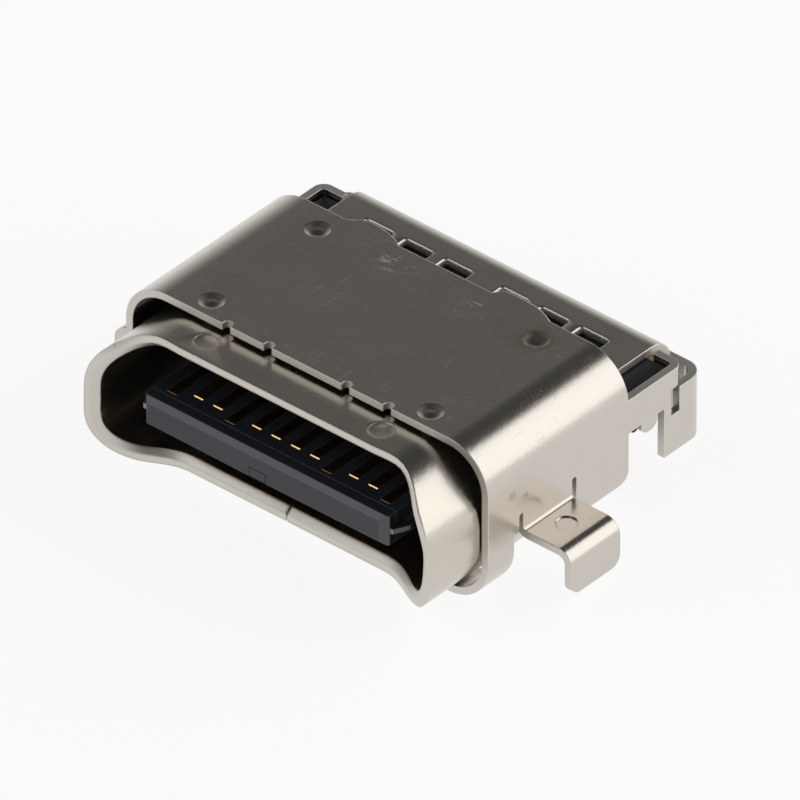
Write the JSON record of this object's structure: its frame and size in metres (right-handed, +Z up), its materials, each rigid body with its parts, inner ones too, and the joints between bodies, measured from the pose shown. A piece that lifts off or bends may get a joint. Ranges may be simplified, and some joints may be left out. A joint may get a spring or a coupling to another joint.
{
  "type": "usb-c socket",
  "caption": "Mid-mount right-angle board socket for a reversible plug: rolled tube mouth, folded nickel-plated shell with board wings and feet, central tongue with two rows of contacts.",
  "frame": {"origin": "middle of the footprint, at the level of the lowest face of the collar", "axes": "+X across the opening, -Y out of the mouth towards the plug, +Z up away from the board"},
  "size_m": [0.0118, 0.008, 0.004],
  "materials": {
    "nickel_steel": "satin nickel plate on folded stainless sheet",
    "tube_steel": "satin nickel plate, slightly grainy on the bends",
    "cover_steel": "satin nickel plate",
    "plate_steel": "plain stainless steel",
    "black_moulding": "black glass-filled moulding",
    "tongue_plastic": "smooth blue-black moulding",
    "contact_gold": "gold plate on copper alloy"
  },
  "bodies": {
    "root": {"inner_shell": "tube_steel", "outer_shell": "nickel_steel", "rear_cover": "cover_steel", "housing": "black_moulding", "upper_wafer": "tongue_plastic", "lower_wafer": "tongue_plastic", "tongue_tip": "tongue_plastic", "mid_plate": "plate_steel", "upper_shield_pad": "plate_steel", "lower_shield_pad": "plate_steel", "contact_a01": "contact_gold", "contact_a02": "contact_gold", "contact_a03": "contact_gold", "contact_a04": "contact_gold", "contact_a05": "contact_gold", "contact_a06": "contact_gold", "contact_a07": "contact_gold", "contact_a08": "contact_gold", "contact_a09": "contact_gold", "contact_a10": "contact_gold", "contact_a11": "contact_gold", "contact_a12": "contact_gold", "contact_b01": "contact_gold", "contact_b02": "contact_gold", "contact_b03": "contact_gold", "contact_b04": "contact_gold", "contact_b05": "contact_gold", "contact_b06": "contact_gold", "contact_b07": "contact_gold", "contact_b08": "contact_gold", "contact_b09": "contact_gold", "contact_b10": "contact_gold", "contact_b11": "contact_gold", "contact_b12": "contact_gold"}
  },
  "joints": []
}
